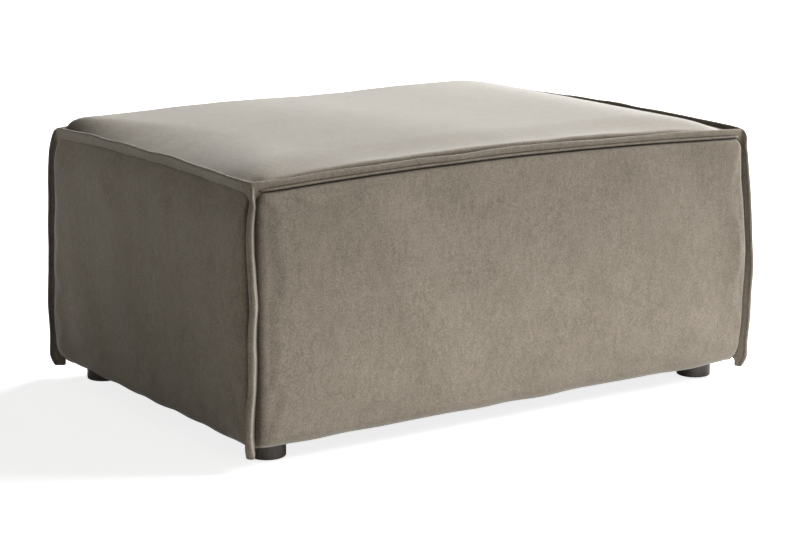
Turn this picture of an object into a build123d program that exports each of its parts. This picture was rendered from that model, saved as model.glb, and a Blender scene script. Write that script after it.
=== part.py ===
from build123d import *
from math import cos, radians, sin, sqrt
import os

# An upholstered footstool: a boxed board frame on four round feet, zigzag springs, foam and
# fibre, and a velvet cover whose seams stand out as flat flanges. Millimetres, +Z up, the
# origin on the floor under the middle, the long sides along X and the front towards -Y.

# The whole stool, measured over the standing seams
overall_length = 986.0
overall_depth = 680.0
overall_height = 460.0
flange_reach = 16.0  # from a side's seam line out to the tip of a corner flange, along X or Y

# The cover
cover_thickness = 2.0
cover_gap = 0.3  # between curved faces of cloth, foam and fibre
pad_gap = 0.9  # between a side panel and its pad
seam_height = 414.0  # floor to the top seam, at a corner
long_seam_bow = 13.0  # rise of the top seam at the middle of a long side
short_seam_bow = 6.0
flange_height = 16.5
flange_thickness = 9.0
flange_edge = 3.0  # taken off the free edges of a flange
flange_bulge = 1.8  # how far a corner flange bows out between its ends
panel_crown = 12.0  # how far a side panel swells past its seams
corner_draw = 32.0  # length over which a panel is drawn in towards its corner seam
bottom_roll = 14.0  # radius where a panel turns under the frame
hem_depth = 35.0  # from the seam line to the raw edge of the cloth under the frame
tail_drop = 8.0  # how far a corner flange hangs below the hem
tail_length = 15.0  # how far it runs in under the corner
dust_cover_thickness = 1.0
dust_cover_inset = 22.0

# The padding
side_padding = 15.0  # from the seam line to the outer face of the frame
pad_corner_gap = 8.5  # from a pad's end to the corner's mitre, where the seam is drawn in
pad_height = 376.0
shoulder_width = 44.0
shoulder_rise = 24.0
cap_rise = 16.0  # from the shoulder up to the middle of the seat
wadding_thickness = 12.0
felt_thickness = 3.0

# The frame
board_thickness = 18.0
frame_height = 271.0
post_width = 40.0
foot_plate_width = 90.0
centre_rail_height = 100.0
bore_gap = 0.05  # around each fastener and wire

# The feet and what holds them
foot_height = 26.0  # with its glide
foot_diameter = 57.6
foot_inset = 51.2  # from the seam lines to the middle of a foot
foot_edge = 2.0
glide_thickness = 2.0
glide_diameter = 40.0
glide_edge = 0.6
glide_pin_diameter = 3.0
glide_pin_length = 8.0
stud_diameter = 8.0
stud_length = 36.0
stud_depth = 12.0  # of the stud inside the foot
nut_barrel_diameter = 10.0
nut_barrel_length = 9.0
nut_flange_diameter = 20.0
nut_flange_thickness = 1.5
nut_prong_length = 6.0
nut_prong_count = 4

# Springs and their fixings
spring_count = 6
spring_wire = 3.8
spring_width = 50.0
spring_pitch = 24.0
clip_thickness = 1.2
clip_width = 12.0
nail_diameter = 2.0
nail_head_diameter = 3.6
nail_head_thickness = 0.8
nail_length = 16.0
tie_wire = 2.4

# Screws and staples
screw_diameter = 4.0
screw_head_diameter = 8.0
screw_length = 45.0
staple_crown = 10.0
staple_wire = 1.2
staple_thickness = 0.7
staple_leg = 9.0
staple_spacing = 78.0
staple_inset = 27.0

overrun = 20.0  # how far a cutting shape runs past what it cuts

half_length = overall_length / 2 - flange_reach
half_depth = overall_depth / 2 - flange_reach
cover_bottom = foot_height + dust_cover_thickness
frame_bottom = cover_bottom + cover_thickness
frame_top = frame_bottom + frame_height
frame_half_length = half_length - side_padding
frame_half_depth = half_depth - side_padding
inner_half_length = frame_half_length - board_thickness
inner_half_depth = frame_half_depth - board_thickness
plate_top = frame_bottom + board_thickness
pad_top = frame_bottom + pad_height
flange_top = seam_height + flange_height
spring_level = frame_top + clip_thickness + bore_gap + spring_wire / 2
tie_level = spring_level + spring_wire / 2 + bore_gap + tie_wire / 2
felt_bottom = tie_level + tie_wire / 2 + bore_gap
foam_bottom = felt_bottom + felt_thickness
foot_x = half_length - foot_inset
foot_y = half_depth - foot_inset

os.makedirs("parts", exist_ok=True)


def keep(piece, name):
    """Label a finished piece and write it under its name."""
    piece.part.label = name
    export_step(piece.part, f"parts/{name}.step")


# The upholstered body: outlines stacked from the turned-under edge up to the top seam

# Angles round the bottom roll, from straight down to level, and the crown reached at each
roll_angle_shares = [(0, 0.12), (1 / 3, 0.2), (2 / 3, 0.32), (1, 0.45)]
# Heights from the roll up to the body's top, and the crown reached at each
height_crown_shares = [(0.12, 0.74), (0.3, 0.94), (0.55, 1), (0.8, 0.88), (0.93, 0.5), (1, 0.06)]
draw_crown_share = 0.72  # of the crown, reached at the end of the drawn-in stretch
draw_middle_share = 0.4
draw_middle_crown_share = 0.44
body_top = seam_height + max(long_seam_bow, short_seam_bow) + cover_thickness


def body_levels(inset):
    """Height, set-back from the seam line and crown at each level of the body."""
    radius = bottom_roll - inset
    levels = []
    for angle_share, crown_share in roll_angle_shares:
        angle = radians(90 * angle_share)
        height = cover_bottom + bottom_roll - radius * cos(angle)
        levels.append((height, bottom_roll - radius * sin(angle), panel_crown * crown_share))
    roll_top = cover_bottom + bottom_roll
    for height_share, crown_share in height_crown_shares:
        height = roll_top + (body_top - roll_top) * height_share
        levels.append((height, inset, panel_crown * crown_share))
    return levels


def side_points(half, crown):
    """Points along one side, from its first corner to its last: along it and outwards."""
    shoulder = half - corner_draw
    inner = half - corner_draw * draw_middle_share
    return [
        (-half, 0),
        (-inner, crown * draw_middle_crown_share),
        (-shoulder, crown * draw_crown_share),
        (0, crown),
        (shoulder, crown * draw_crown_share),
        (inner, crown * draw_middle_crown_share),
        (half, 0),
    ]


def body_outline(set_back, crown):
    """Four swollen sides between sharp corners, drawn on the current sketch plane."""
    half_x = half_length - set_back
    half_y = half_depth - set_back
    front = [(along, -half_y - out) for along, out in side_points(half_x, crown)]
    right = [(half_x + out, along) for along, out in side_points(half_y, crown)]
    back = [(-x, -y) for x, y in front]
    left = [(-x, -y) for x, y in right]
    with BuildLine(Plane.XY) as outline:
        for side in (front, right, back, left):
            for first in (0, 2, 4):
                ThreePointArc(side[first], side[first + 1], side[first + 2])
    make_face(outline.edges())


def body_solid(inset):
    """The stuffed body below the top seam, pulled in by the given inset."""
    with BuildPart() as body:
        for height, set_back, crown in body_levels(inset):
            with BuildSketch(Plane.XY.offset(height)):
                body_outline(set_back, crown)
        loft()
    return body.part


# Which way each side faces: name, along X or Y, and the sign of its outward normal
sides = [("front", "x", -1), ("right", "y", 1), ("back", "x", 1), ("left", "y", -1)]


def side_sector(axis, sign, depth, miter_gap):
    """Plan outline of one side's share of the body, mitred at both corners."""
    half, across = (half_length, half_depth) if axis == "x" else (half_depth, half_length)
    shift = miter_gap * sqrt(2)
    outer = half + overrun - shift
    inner = half - depth - shift
    corners = [
        (-outer, across + overrun),
        (outer, across + overrun),
        (inner, across - depth),
        (-inner, across - depth),
    ]
    if axis == "x":
        return [(sign * along, sign * out) for along, out in corners]
    return [(sign * out, -sign * along) for along, out in corners]


def side_plane(axis):
    """The upright middle plane that runs along a side."""
    return Plane.XZ if axis == "x" else Plane.YZ


def seam_size(axis):
    """Half length and rise of the top seam along a side."""
    return (half_length, long_seam_bow) if axis == "x" else (half_depth, short_seam_bow)


def seam_region(axis, lift, edge):
    """Fill between the bowed seam line, lifted, and a level edge above or below it."""
    half, bow = seam_size(axis)
    level = seam_height + lift
    with BuildLine(Plane.XY) as region:
        ThreePointArc((-half, level), (0, level + bow), (half, level))
        Polyline(
            (half, level),
            (half + overrun, level),
            (half + overrun, edge),
            (-half - overrun, edge),
            (-half - overrun, level),
            (-half, level),
        )
    make_face(region.edges())


# Staple places, shared by the cover's hem, the dust cover and the rails
def staple_places():
    """Middle of each staple and whether its crown runs along X."""
    places = []
    for axis in ("x", "y"):
        half, across = (half_length, half_depth) if axis == "x" else (half_depth, half_length)
        reach = half - foot_inset - foot_diameter / 2 - staple_crown
        count = int(2 * reach / staple_spacing) + 1
        for index in range(count):
            along = (index - (count - 1) / 2) * staple_spacing
            for sign in (-1, 1):
                out = sign * (across - staple_inset)
                places.append((along, out, True) if axis == "x" else (out, along, False))
    return places


def staple_legs(gap):
    """Both legs of every staple, grown by a gap, from under the dust cover into the rails."""
    wide = staple_wire + 2 * gap
    thin = staple_thickness + 2 * gap
    spread = staple_crown / 2 - staple_wire / 2
    for x, y, runs_along_x in staple_places():
        for sign in (-1, 1):
            if runs_along_x:
                with Locations((x + sign * spread, y)):
                    Rectangle(wide, thin)
            else:
                with Locations((x, y + sign * spread)):
                    Rectangle(thin, wide)


# Side panels: one cloth panel each side, hemmed under the frame
outer_body = body_solid(0)
inner_body = body_solid(cover_thickness)
slot_half = flange_thickness / 2 + cover_gap

for name, axis, sign in sides:
    with BuildPart() as panel:
        add(outer_body)
        add(inner_body, mode=Mode.SUBTRACT)
        with BuildSketch(Plane.XY.offset(cover_bottom - overrun)):
            Polygon(*side_sector(axis, sign, hem_depth, slot_half), align=None)
        extrude(amount=body_top + 2 * overrun, mode=Mode.INTERSECT)
        with BuildSketch(side_plane(axis)):
            seam_region(axis, -cover_gap, body_top + overrun)
        extrude(amount=overall_length, both=True, mode=Mode.SUBTRACT)
        with BuildSketch(Plane.XY.offset(foot_height)):
            staple_legs(bore_gap)
        extrude(amount=staple_leg, mode=Mode.SUBTRACT)
    keep(panel, f"{name}_panel")

# Side pads: foam on the outside of the frame, swelling the panels
pad_body = body_solid(cover_thickness + pad_gap)

for name, axis, sign in sides:
    with BuildPart() as pad:
        add(pad_body)
        with BuildSketch(Plane.XY.offset(cover_bottom)):
            Polygon(*side_sector(axis, sign, side_padding, pad_corner_gap), align=None)
        extrude(amount=pad_top - cover_bottom, mode=Mode.INTERSECT)
    keep(pad, f"{name}_side_pad")


# The seat's crown: an upright wall, a round shoulder and a shallow cap over the side pads
shoulder_angle_shares = [0, 1 / 4, 1 / 2, 3 / 4, 1]
shoulder_corner_shares = [0.5, 0.8, 1.1, 1.4, 1.7]  # corner radius, of the shoulder's width
# Past the shoulder: set-back of the half depth, rise of what is left, corner radius of the depth
cap_shares = [(0, 0), (0.25, 0.5), (0.5, 0.84), (0.75, 1)]
cap_corner_share = 0.9  # of the shoulder's own corner radius, kept at each step of the cap
crown_half_length = half_length - flange_thickness - cover_gap
crown_half_depth = half_depth - flange_thickness - cover_gap
shoulder_base = overall_height - shoulder_rise - cap_rise


def crown_outline(height, set_back, corner):
    """Rounded plan outline of the crown at one height."""
    with BuildSketch(Plane.XY.offset(height)) as outline:
        RectangleRounded(2 * (crown_half_length - set_back), 2 * (crown_half_depth - set_back), corner)
    return outline.sketch


def crown_solid(inset):
    """The crowned seat above the side pads, pulled in by the given inset."""
    shoulder = []
    for angle_share, corner_share in zip(shoulder_angle_shares, shoulder_corner_shares):
        angle = radians(90 * angle_share)
        height = shoulder_base + (shoulder_rise - inset) * sin(angle)
        set_back = shoulder_width - (shoulder_width - inset) * cos(angle)
        shoulder.append(crown_outline(height, set_back, shoulder_width * corner_share))
    cap = []
    corner = shoulder_width * shoulder_corner_shares[-1]
    for back_share, rise_share in cap_shares:
        height = shoulder_base + shoulder_rise + cap_rise * rise_share - inset
        set_back = shoulder_width + (crown_half_depth - shoulder_width) * back_share
        cap.append(crown_outline(height, set_back, corner))
        corner = corner * cap_corner_share
    wall = crown_outline(pad_top, inset, shoulder_width * shoulder_corner_shares[0])
    with BuildPart() as crown:
        extrude(wall, amount=shoulder_base - pad_top)
        loft(shoulder)
        loft(cap)
    return crown.part


# Top panel: one piece of cloth over the crown, its rim following the bowed seams
with BuildPart() as top_panel:
    add(crown_solid(0))
    add(crown_solid(cover_thickness), mode=Mode.SUBTRACT)
    rim_band = flange_thickness + shoulder_width
    for name, axis, sign in sides:
        across = half_depth if axis == "x" else half_length
        plane_sign = -sign if axis == "x" else sign
        with BuildSketch(side_plane(axis).offset(plane_sign * (across - rim_band))):
            seam_region(axis, 0, pad_top - overrun)
        extrude(amount=plane_sign * (rim_band + overrun), mode=Mode.SUBTRACT)
keep(top_panel, "top_panel")

# Fibre wadding, then the soft foam layer that gives the seat its crown
wadding_inset = cover_thickness + cover_gap
soft_foam_inset = wadding_inset + wadding_thickness + cover_gap

with BuildPart() as fibre_wadding:
    add(crown_solid(wadding_inset))
    add(crown_solid(wadding_inset + wadding_thickness), mode=Mode.SUBTRACT)
keep(fibre_wadding, "fibre_wadding")

with BuildPart() as soft_foam_layer:
    add(crown_solid(soft_foam_inset))
keep(soft_foam_layer, "soft_foam_layer")

# Seat foam block, between the side pads
with BuildPart() as seat_foam_block:
    with BuildSketch(Plane.XY.offset(foam_bottom)):
        Rectangle(2 * frame_half_length, 2 * frame_half_depth)
    extrude(amount=pad_top - foam_bottom)
keep(seat_foam_block, "seat_foam_block")

# Felt over the springs
with BuildPart() as spring_felt:
    with BuildSketch(Plane.XY.offset(felt_bottom)):
        Rectangle(2 * (frame_half_length - cover_thickness), 2 * (frame_half_depth - cover_thickness))
    extrude(amount=felt_thickness)
keep(spring_felt, "spring_felt")

# Top flanges: the doubled seam allowance standing up along each side
for name, axis, sign in sides:
    half, bow = seam_size(axis)
    across = half_depth if axis == "x" else half_length
    plane_sign = -sign if axis == "x" else sign
    with BuildPart() as top_flange:
        with BuildSketch(side_plane(axis).offset(plane_sign * across)):
            with BuildLine():
                root = ThreePointArc((-half, seam_height), (0, seam_height + bow), (half, seam_height))
                edge = ThreePointArc((-half, flange_top), (0, flange_top + bow), (half, flange_top))
                Line(root @ 0, edge @ 0)
                Line(root @ 1, edge @ 1)
            make_face()
        extrude(amount=-plane_sign * flange_thickness)
        chamfer(top_flange.faces().sort_by(Axis.Z)[-1].edges().sort_by(SortBy.LENGTH)[-2:], flange_edge)
        with BuildSketch(Plane.XY.offset(seam_height - overrun)):
            Polygon(*side_sector(axis, sign, flange_thickness, cover_gap / 2), align=None)
        extrude(amount=bow + flange_height + 2 * overrun, mode=Mode.INTERSECT)
    keep(top_flange, f"{name}_top_flange")

# Corner flanges: the upright seams, standing out diagonally, with a tail under the corner
corner_reach = flange_reach * sqrt(2)
root_reach = cover_thickness / 2 * sqrt(2)  # in between the panels' ends, clear of the pads
root_radius = bottom_roll - cover_thickness / 2
root_middle = (
    (root_radius * sin(radians(45)) - bottom_roll) * sqrt(2),
    cover_bottom + bottom_roll - root_radius * cos(radians(45)),
)
root_end = (-tail_length, cover_bottom + cover_thickness / 2)
corner_names = [("front_left", -1, -1), ("front_right", 1, -1), ("back_right", 1, 1), ("back_left", -1, 1)]
ear_shares = [(0.72, 0.55), (1, -1.2)]  # out, of the reach, and up, of the flange height
tail_shares = [(1, 2.6), (0.95, 0.7), (0.5, -0.5)]  # out, of the reach, and up, of the flange height

for name, x_sign, y_sign in corner_names:
    outward = Vector(x_sign, y_sign, 0).normalized()
    sideways = Vector(y_sign, -x_sign, 0).normalized()
    corner_plane = Plane(origin=(x_sign * half_length, y_sign * half_depth, 0), x_dir=outward, z_dir=sideways)
    straight = corner_reach - flange_bulge
    ear_middle, ear_end = [(straight * out, seam_height + flange_height * up) for out, up in ear_shares]
    tail_start = (straight * tail_shares[0][0], cover_bottom + flange_height * tail_shares[0][1])
    tail_middle = (straight * tail_shares[1][0], cover_bottom + flange_height * tail_shares[1][1])
    tail_tip = (straight * tail_shares[2][0], cover_bottom - tail_drop)
    with BuildPart() as corner_flange:
        with BuildSketch(corner_plane):
            with BuildLine():
                ThreePointArc((cover_gap, flange_top - flange_edge), ear_middle, ear_end)
                ThreePointArc(ear_end, (corner_reach, (ear_end[1] + tail_start[1]) / 2), tail_start)
                ThreePointArc(tail_start, tail_middle, tail_tip)
                Polyline(tail_tip, (-tail_length, cover_bottom), root_end)
                ThreePointArc(root_end, root_middle, (-root_reach, cover_bottom + bottom_roll))
                Polyline(
                    (-root_reach, cover_bottom + bottom_roll),
                    (-root_reach, seam_height - cover_gap),
                    (cover_gap, seam_height - cover_gap),
                    (cover_gap, flange_top - flange_edge),
                )
            make_face()
        extrude(amount=flange_thickness / 2, both=True)
        arcs = corner_flange.edges().filter_by(GeomType.CIRCLE)
        fillet(arcs.filter_by(lambda arc: (arc @ 0.5 - corner_plane.origin).dot(outward) > 0), flange_edge)
    keep(corner_flange, f"{name}_corner_flange")

# Dust cover, tacked over the raw hems
with BuildPart() as dust_cover:
    with BuildSketch(Plane.XY.offset(foot_height)):
        Rectangle(2 * (half_length - dust_cover_inset), 2 * (half_depth - dust_cover_inset))
        with GridLocations(2 * foot_x, 2 * foot_y, 2, 2):
            Circle(stud_diameter / 2 + cover_gap, mode=Mode.SUBTRACT)
    extrude(amount=dust_cover_thickness)
    with BuildSketch(Plane.XY.offset(foot_height)):
        staple_legs(bore_gap)
    extrude(amount=dust_cover_thickness, mode=Mode.SUBTRACT)
keep(dust_cover, "dust_cover")

# Staples through the dust cover and the hems into the rails
with BuildPart() as staples:
    with BuildSketch(Plane.XY.offset(foot_height)):
        staple_legs(0)
    extrude(amount=staple_leg)
    with BuildSketch(Plane.XY.offset(foot_height - staple_thickness)):
        for x, y, runs_along_x in staple_places():
            with Locations((x, y)):
                if runs_along_x:
                    Rectangle(staple_crown, staple_thickness)
                else:
                    Rectangle(staple_thickness, staple_crown)
    extrude(amount=staple_thickness)
keep(staples, "staples")


# Frame screws: three into each post from either side, one into each foot plate, two into each
# end of the centre rail
post_centre_x = inner_half_length - post_width / 2
post_centre_y = inner_half_depth - post_width / 2
post_bottom = plate_top + post_width / 2
post_screw_shares = [0.15, 0.5, 0.85]
centre_screw_shares = [0.25, 0.75]
plate_screw_share = 0.75  # of a foot plate's width, out from the frame's corner
stagger = screw_head_diameter / 2 + screw_diameter  # keeps crossing screws apart


def screw_places(facing):
    """Outer end of each screw and the way it points, for one pair of rails."""
    post_height = frame_top - post_bottom
    plate_x = inner_half_length - foot_plate_width * plate_screw_share
    plate_y = inner_half_depth - foot_plate_width * plate_screw_share
    places = []
    for sign in (-1, 1):
        for side in (-1, 1):
            for share in post_screw_shares:
                level = post_bottom + post_height * share
                if facing == "x":
                    places.append(((side * post_centre_x, sign * frame_half_depth, level), (0, -sign, 0)))
                else:
                    place = (sign * frame_half_length, side * post_centre_y, level - stagger)
                    places.append((place, (-sign, 0, 0)))
            level = frame_bottom + board_thickness / 2
            if facing == "x":
                places.append(((side * plate_x, sign * frame_half_depth, level), (0, -sign, 0)))
            else:
                places.append(((sign * frame_half_length, side * plate_y, level), (-sign, 0, 0)))
        if facing == "x":
            for share in centre_screw_shares:
                level = frame_bottom + centre_rail_height * share
                places.append(((0, sign * frame_half_depth, level), (0, -sign, 0)))
    return places


def add_screws(facing, gap, mode):
    """Countersunk screws, or the holes for them, at every place of one pair of rails."""
    head = screw_head_diameter / 2 + gap
    shank = screw_diameter / 2 + gap
    for place, direction in screw_places(facing):
        with BuildSketch(Plane(origin=place, z_dir=direction)) as shank_plan:
            Circle(shank)
        extrude(shank_plan.sketch, amount=screw_length + gap, mode=mode)
        with BuildSketch(Plane(origin=place, z_dir=direction)) as head_plan:
            Circle(head)
        extrude(head_plan.sketch, amount=head - shank, taper=45, mode=mode)


with BuildPart() as frame_screws:
    for facing in ("x", "y"):
        add_screws(facing, 0, Mode.ADD)
keep(frame_screws, "frame_screws")

with BuildPart() as screw_holes:
    for facing in ("x", "y"):
        add_screws(facing, bore_gap, Mode.ADD)

# Rails: the long ones run the full length and the short ones fit between them
nail_setback = board_thickness / 2 - spring_wire - bore_gap  # from a spring's end run towards the inside
end_run = frame_half_depth - board_thickness / 2
spring_places = [
    (index - (spring_count - 1) / 2) * 2 * (inner_half_length - post_width / 2) / spring_count
    for index in range(spring_count)
]


def nail_plan(radius):
    """Plan of the clip nails, two for each spring."""
    for x in spring_places:
        for sign in (-1, 1):
            with Locations((x, sign * (end_run - nail_setback))):
                Circle(radius)


def rail_holes():
    """Cut the screw, staple and nail holes from the current rail."""
    add(screw_holes.part, mode=Mode.SUBTRACT)
    with BuildSketch(Plane.XY.offset(foot_height)) as leg_plan:
        staple_legs(bore_gap)
    extrude(leg_plan.sketch, amount=staple_leg + bore_gap, mode=Mode.SUBTRACT)
    with BuildSketch(Plane.XY.offset(frame_top - nail_length)) as nail_holes:
        nail_plan(nail_diameter / 2 + bore_gap)
    extrude(nail_holes.sketch, amount=nail_length, mode=Mode.SUBTRACT)


for name, axis, sign in sides:
    with BuildPart() as rail:
        with BuildSketch(Plane.XY.offset(frame_bottom)):
            if axis == "x":
                with Locations((0, sign * (frame_half_depth - board_thickness / 2))):
                    Rectangle(2 * frame_half_length, board_thickness)
            else:
                with Locations((sign * (frame_half_length - board_thickness / 2), 0)):
                    Rectangle(board_thickness, 2 * inner_half_depth)
        extrude(amount=frame_height)
        rail_holes()
    keep(rail, f"{name}_rail")

with BuildPart() as centre_rail:
    with BuildSketch(Plane.XY.offset(frame_bottom)):
        Rectangle(board_thickness, 2 * inner_half_depth)
    extrude(amount=centre_rail_height)
    add(screw_holes.part, mode=Mode.SUBTRACT)
keep(centre_rail, "centre_rail")

# Corner posts and foot plates; the posts stop short of the plates to leave the studs room
prong_circle = (nut_flange_diameter + nut_barrel_diameter) / 4


def prong_plan(gap):
    """Plan of one tee nut's prongs."""
    with PolarLocations(prong_circle, nut_prong_count):
        Rectangle(nut_flange_thickness + 2 * gap, nut_flange_thickness * 2 + 2 * gap)


for name, x_sign, y_sign in corner_names:
    with BuildPart() as post:
        with BuildSketch(Plane.XY.offset(post_bottom)):
            with Locations((x_sign * post_centre_x, y_sign * post_centre_y)):
                Rectangle(post_width, post_width)
        extrude(amount=frame_top - post_bottom)
        add(screw_holes.part, mode=Mode.SUBTRACT)
    keep(post, f"{name}_post")

    plate_x = x_sign * (inner_half_length - foot_plate_width / 2)
    plate_y = y_sign * (inner_half_depth - foot_plate_width / 2)
    foot_centre = (x_sign * foot_x, y_sign * foot_y)
    with BuildPart() as foot_plate:
        with BuildSketch(Plane.XY.offset(frame_bottom)):
            with Locations((plate_x, plate_y)):
                Rectangle(foot_plate_width, foot_plate_width)
            with Locations(foot_centre):
                Circle(nut_barrel_diameter / 2 + bore_gap, mode=Mode.SUBTRACT)
        extrude(amount=board_thickness)
        with BuildSketch(Plane.XY.offset(plate_top)):
            with Locations(foot_centre):
                prong_plan(bore_gap)
        extrude(amount=-nut_prong_length - bore_gap, mode=Mode.SUBTRACT)
        add(screw_holes.part, mode=Mode.SUBTRACT)
    keep(foot_plate, f"{name}_foot_plate")

# Feet: dark turned blocks, bored for the stud above and for the glide's pin below
stud_bottom = foot_height - stud_depth

for name, x_sign, y_sign in corner_names:
    foot_centre = (x_sign * foot_x, y_sign * foot_y)
    with BuildPart() as foot:
        with BuildSketch(Plane.XY.offset(glide_thickness)):
            with Locations(foot_centre):
                Circle(foot_diameter / 2)
        extrude(amount=foot_height - glide_thickness)
        fillet(foot.faces().sort_by(Axis.Z)[0].edges(), foot_edge)
        with BuildSketch(Plane.XY.offset(stud_bottom - bore_gap)):
            with Locations(foot_centre):
                Circle(stud_diameter / 2 + bore_gap)
        extrude(amount=stud_depth + bore_gap, mode=Mode.SUBTRACT)
        with BuildSketch(Plane.XY.offset(glide_thickness)):
            with Locations(foot_centre):
                Circle(glide_pin_diameter / 2 + bore_gap)
        extrude(amount=glide_pin_length + bore_gap, mode=Mode.SUBTRACT)
    keep(foot, f"{name}_foot")

    with BuildPart() as foot_glide:
        with BuildSketch(Plane.XY):
            with Locations(foot_centre):
                Circle(glide_diameter / 2)
        extrude(amount=glide_thickness)
        fillet(foot_glide.faces().sort_by(Axis.Z)[0].edges(), glide_edge)
        with BuildSketch(Plane.XY.offset(glide_thickness)):
            with Locations(foot_centre):
                Circle(glide_pin_diameter / 2)
        extrude(amount=glide_pin_length)
    keep(foot_glide, f"{name}_foot_glide")

# Foot studs and the tee nuts that take them
with BuildPart() as foot_studs:
    with BuildSketch(Plane.XY.offset(stud_bottom)):
        with GridLocations(2 * foot_x, 2 * foot_y, 2, 2):
            Circle(stud_diameter / 2)
    extrude(amount=stud_length)
keep(foot_studs, "foot_studs")

with BuildPart() as tee_nuts:
    with BuildSketch(Plane.XY.offset(plate_top)):
        with GridLocations(2 * foot_x, 2 * foot_y, 2, 2):
            Circle(nut_flange_diameter / 2)
    extrude(amount=nut_flange_thickness)
    with BuildSketch(Plane.XY.offset(plate_top)):
        with GridLocations(2 * foot_x, 2 * foot_y, 2, 2):
            Circle(nut_barrel_diameter / 2)
    extrude(amount=-nut_barrel_length)
    with BuildSketch(Plane.XY.offset(plate_top)):
        with GridLocations(2 * foot_x, 2 * foot_y, 2, 2):
            prong_plan(0)
    extrude(amount=-nut_prong_length)
    with BuildSketch(Plane.XY.offset(plate_top - nut_barrel_length)):
        with GridLocations(2 * foot_x, 2 * foot_y, 2, 2):
            Circle(stud_diameter / 2 + bore_gap)
    extrude(amount=nut_barrel_length + nut_flange_thickness, mode=Mode.SUBTRACT)
keep(tee_nuts, "tee_nuts")

# Zigzag springs from the front rail to the back rail
run_count = max(3, round(2 * end_run / spring_pitch))
run_pitch = 2 * end_run / run_count
half_run = spring_width / 2 - run_pitch / 2

for number, x in enumerate(spring_places, start=1):
    with BuildPart() as spring:
        with BuildLine(Plane.XY.offset(spring_level)) as wire_path:
            for run in range(run_count + 1):
                y = run * run_pitch - end_run
                turn = 1 if run % 2 == 0 else -1
                Line((x - turn * half_run, y), (x + turn * half_run, y))
                if run < run_count:
                    bend = (x + turn * (half_run + run_pitch / 2), y + run_pitch / 2)
                    ThreePointArc((x + turn * half_run, y), bend, (x + turn * half_run, y + run_pitch))
        with BuildSketch(Plane(origin=wire_path.line @ 0, z_dir=wire_path.line % 0)):
            Circle(spring_wire / 2)
        sweep(path=wire_path.line)
    keep(spring, f"spring_{number}")

# Spring clips: strip bent round each end run, and the nails that hold them
clip_radius = spring_wire / 2 + bore_gap + clip_thickness / 2

with BuildPart() as spring_clips:
    for x in spring_places:
        for sign in (-1, 1):
            run_y = sign * end_run
            foot_end = run_y - sign * (nail_setback + nail_head_diameter / 2)
            low = spring_level - clip_radius
            high = spring_level + clip_radius
            with BuildSketch(Plane.YZ.offset(x - clip_width / 2)):
                with BuildLine() as strip:
                    Line((foot_end, low), (run_y, low))
                    ThreePointArc((run_y, low), (run_y + sign * clip_radius, spring_level), (run_y, high))
                    Line((run_y, high), (run_y - sign * clip_radius, high))
                trace(strip.line, clip_thickness)
            extrude(amount=clip_width)
    with BuildSketch(Plane.XY.offset(frame_top - overrun)):
        nail_plan(nail_diameter / 2 + bore_gap)
    extrude(amount=overrun + clip_thickness + bore_gap, mode=Mode.SUBTRACT)
keep(spring_clips, "spring_clips")

with BuildPart() as clip_nails:
    with BuildSketch(Plane.XY.offset(frame_top + clip_thickness)):
        nail_plan(nail_head_diameter / 2)
    extrude(amount=nail_head_thickness)
    with BuildSketch(Plane.XY.offset(frame_top + clip_thickness)):
        nail_plan(nail_diameter / 2)
    extrude(amount=-(nail_length - bore_gap))
keep(clip_nails, "clip_nails")

# Tie wires laid across the springs
tie_share = 1 / 3  # of the way from the middle to a spring's end

with BuildPart() as spring_tie_wires:
    for sign in (-1, 1):
        start = (spring_places[0] - spring_width / 2, sign * end_run * tie_share, tie_level)
        with BuildSketch(Plane(origin=start, z_dir=(1, 0, 0))):
            Circle(tie_wire / 2)
        extrude(amount=2 * spring_places[-1] + spring_width)
keep(spring_tie_wires, "spring_tie_wires")
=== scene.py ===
from collections import namedtuple
from math import cos, pi, sin, sqrt

import bpy
import numpy as np
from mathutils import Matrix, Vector
from mathutils.bvhtree import BVHTree


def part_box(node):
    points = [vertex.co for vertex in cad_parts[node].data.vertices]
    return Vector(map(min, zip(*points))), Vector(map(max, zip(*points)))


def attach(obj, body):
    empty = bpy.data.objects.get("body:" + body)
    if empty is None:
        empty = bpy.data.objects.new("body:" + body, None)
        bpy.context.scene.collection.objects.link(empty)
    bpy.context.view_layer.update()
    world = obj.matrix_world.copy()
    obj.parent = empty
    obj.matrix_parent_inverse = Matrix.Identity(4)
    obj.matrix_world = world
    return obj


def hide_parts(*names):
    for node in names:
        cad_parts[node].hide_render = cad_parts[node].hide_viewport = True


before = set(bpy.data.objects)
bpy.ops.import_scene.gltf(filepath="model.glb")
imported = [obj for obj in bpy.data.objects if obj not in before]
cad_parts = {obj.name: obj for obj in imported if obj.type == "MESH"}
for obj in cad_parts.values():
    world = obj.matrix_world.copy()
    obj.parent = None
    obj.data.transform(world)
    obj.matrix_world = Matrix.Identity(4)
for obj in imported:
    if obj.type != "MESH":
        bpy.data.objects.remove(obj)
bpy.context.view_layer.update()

# The camera that took the photograph: a long lens from the front left, looking a little down.
# Its place was worked out from the stool's corners, edges and feet.
camera_azimuth = 0.5946
camera_tilt = 0.2126
camera_distance = 3.6862
camera_aim = Vector((0.0005, 0, 0.1878))
focal_pixels = 2169.24
photo_width = 800
film_width = 36
farthest_seen = 100

camera_back = Vector((
    -sin(camera_azimuth) * cos(camera_tilt),
    -cos(camera_azimuth) * cos(camera_tilt),
    sin(camera_tilt),
))
camera_data = bpy.data.cameras.new("camera")
camera_data.sensor_width = film_width
camera_data.lens = focal_pixels / photo_width * camera_data.sensor_width
camera_data.clip_end = farthest_seen
camera = bpy.data.objects.new("camera", camera_data)
camera.location = camera_aim + camera_back * camera_distance
camera.rotation_euler = camera_back.to_track_quat("Z", "Y").to_euler()
bpy.context.scene.collection.objects.link(camera)
bpy.context.scene.camera = camera

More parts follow.
